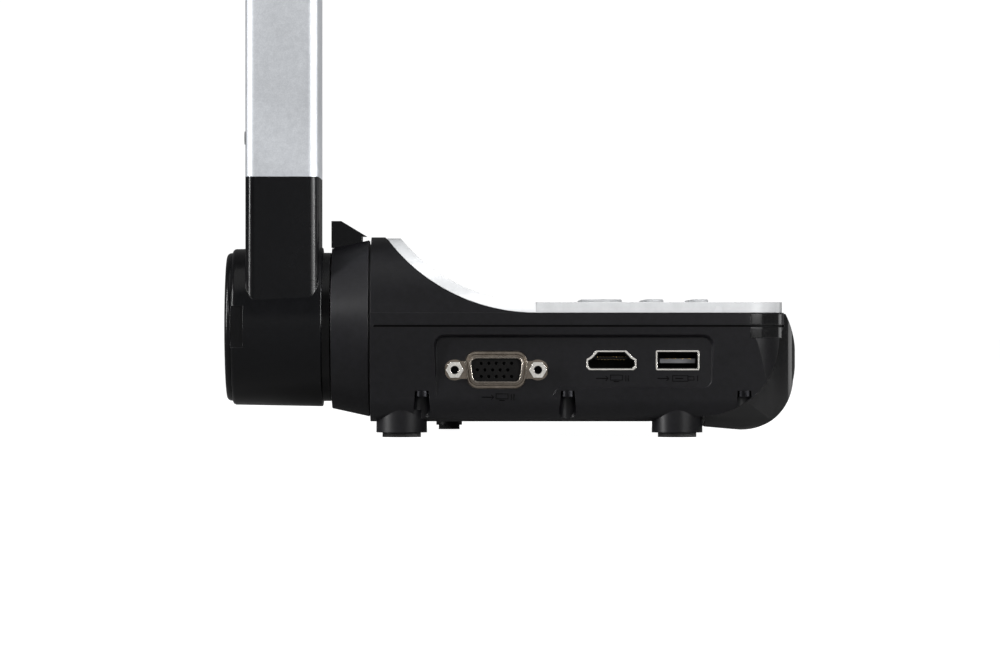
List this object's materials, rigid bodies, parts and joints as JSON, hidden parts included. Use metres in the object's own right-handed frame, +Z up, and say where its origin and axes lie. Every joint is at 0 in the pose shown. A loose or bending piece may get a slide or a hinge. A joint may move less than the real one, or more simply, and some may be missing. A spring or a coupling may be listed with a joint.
{
  "type": "document camera",
  "caption": "Document camera with a side-folding aluminium arm, drum joint, camera head, button deck and sockets in its side.",
  "frame": {"origin": "under the middle of the whole object, on the table it stands on", "axes": "+X to the front, the way the upper arm reaches; +Y to the far side, away from the input sockets; +Z up"},
  "size_m": [0.3066, 0.178, 0.463],
  "materials": {
    "black_plastic": "fine matt texture",
    "white_plastic": "satin gloss",
    "gloss_black": "polished",
    "key_plastic": "satin",
    "satin_aluminium": "bead blasted and anodised",
    "steel": "turned",
    "bronze": "sintered",
    "screw_steel": "blackened",
    "nickel": "nickel plated",
    "connector_black": "moulded",
    "connector_white": "moulded",
    "foot_rubber": "matt",
    "circuit_board": "solder mask",
    "lens_black": "black anodised",
    "lens_glass": "coated",
    "diffuser": "milky"
  },
  "bodies": {
    "base": {"lower_shell": "black_plastic", "upper_shell": "black_plastic", "top_cover": "white_plastic", "front_nose": "gloss_black", "ir_window": "gloss_black", "case_screws": "screw_steel", "ballast_plate": "steel", "main_board": "circuit_board", "keypad_board": "circuit_board", "key_switches": "circuit_board", "foot_pad_near_rear": "foot_rubber", "foot_pad_near_front": "foot_rubber", "foot_pad_far_rear": "foot_rubber", "foot_pad_far_front": "foot_rubber", "vga_shell": "nickel", "vga_insert": "connector_black", "vga_jackscrews": "nickel", "hdmi_shell": "nickel", "hdmi_tongue": "connector_black", "usb_shell": "nickel", "usb_tongue": "connector_white", "hdmi_out_shell": "nickel", "hdmi_out_tongue": "connector_black", "dc_jack": "connector_black", "dc_jack_pin": "nickel", "collar_ring": "black_plastic", "swing_bracket": "steel", "shaft_bush": "bronze", "latch_spring": "steel"},
    "lower_arm": {"drum_housing": "black_plastic", "drum_end_cap": "black_plastic", "swing_shaft": "steel", "shaft_nut": "steel", "detent_disc": "steel", "lower_arm_tube": "satin_aluminium", "arm_screws": "screw_steel", "elbow_fork": "black_plastic", "elbow_pin": "steel"},
    "upper_arm": {"elbow_knuckle": "black_plastic", "upper_arm_tube": "satin_aluminium", "head_clevis": "black_plastic"},
    "camera_head": {"head_top_cover": "white_plastic", "head_bottom_cover": "black_plastic", "head_pin": "steel", "lens_barrel": "lens_black", "lens_glass": "lens_glass", "sensor_board": "circuit_board", "led_diffuser": "diffuser"},
    "latch": {"release_latch": "black_plastic", "detent_pin": "steel"},
    "key_power_body": {"key_power": "key_plastic"},
    "key_source_body": {"key_source": "key_plastic"},
    "key_freeze_body": {"key_freeze": "key_plastic"},
    "key_zoom_out_body": {"key_zoom_out": "key_plastic"},
    "key_focus_body": {"key_focus": "key_plastic"},
    "key_zoom_in_body": {"key_zoom_in": "key_plastic"},
    "key_previous_body": {"key_previous": "key_plastic"},
    "key_menu_body": {"key_menu": "key_plastic"},
    "key_next_body": {"key_next": "key_plastic"}
  },
  "joints": [
    {"name": "arm_swing", "type": "hinge", "parent": "base", "child": "lower_arm", "pos_m": [-0.1087, -0.06105, 0.03325], "axis": [-1, 0, 0], "range_deg": [0, 90]},
    {"name": "elbow_fold", "type": "hinge", "parent": "lower_arm", "child": "upper_arm", "pos_m": [-0.1067, -0.06105, 0.45], "axis": [0, 1, 0], "range_deg": [0, 90]},
    {"name": "head_tilt", "type": "hinge", "parent": "upper_arm", "child": "camera_head", "pos_m": [0.0733, -0.06105, 0.45], "axis": [0, -1, 0], "range_deg": [0, 90]},
    {"name": "latch_slide", "type": "slide", "parent": "base", "child": "latch", "axis": [1, 0, 0], "range_m": [0, 0.002], "stiffness_N_per_m": 400, "springref_m": -0.002, "deforming": ["latch_spring"]},
    {"name": "key_power_press", "type": "slide", "parent": "base", "child": "key_power_body", "axis": [0, 0, -1], "range_m": [0, 0.0008], "stiffness_N_per_m": 500, "springref_m": -0.0004},
    {"name": "key_source_press", "type": "slide", "parent": "base", "child": "key_source_body", "axis": [0, 0, -1], "range_m": [0, 0.0008], "stiffness_N_per_m": 500, "springref_m": -0.0004},
    {"name": "key_freeze_press", "type": "slide", "parent": "base", "child": "key_freeze_body", "axis": [0, 0, -1], "range_m": [0, 0.0008], "stiffness_N_per_m": 500, "springref_m": -0.0004},
    {"name": "key_zoom_out_press", "type": "slide", "parent": "base", "child": "key_zoom_out_body", "axis": [0, 0, -1], "range_m": [0, 0.0008], "stiffness_N_per_m": 500, "springref_m": -0.0004},
    {"name": "key_focus_press", "type": "slide", "parent": "base", "child": "key_focus_body", "axis": [0, 0, -1], "range_m": [0, 0.0008], "stiffness_N_per_m": 500, "springref_m": -0.0004},
    {"name": "key_zoom_in_press", "type": "slide", "parent": "base", "child": "key_zoom_in_body", "axis": [0, 0, -1], "range_m": [0, 0.0008], "stiffness_N_per_m": 500, "springref_m": -0.0004},
    {"name": "key_previous_press", "type": "slide", "parent": "base", "child": "key_previous_body", "axis": [0, 0, -1], "range_m": [0, 0.0008], "stiffness_N_per_m": 500, "springref_m": -0.0004},
    {"name": "key_menu_press", "type": "slide", "parent": "base", "child": "key_menu_body", "axis": [0, 0, -1], "range_m": [0, 0.0008], "stiffness_N_per_m": 500, "springref_m": -0.0004},
    {"name": "key_next_press", "type": "slide", "parent": "base", "child": "key_next_body", "axis": [0, 0, -1], "range_m": [0, 0.0008], "stiffness_N_per_m": 500, "springref_m": -0.0004}
  ]
}
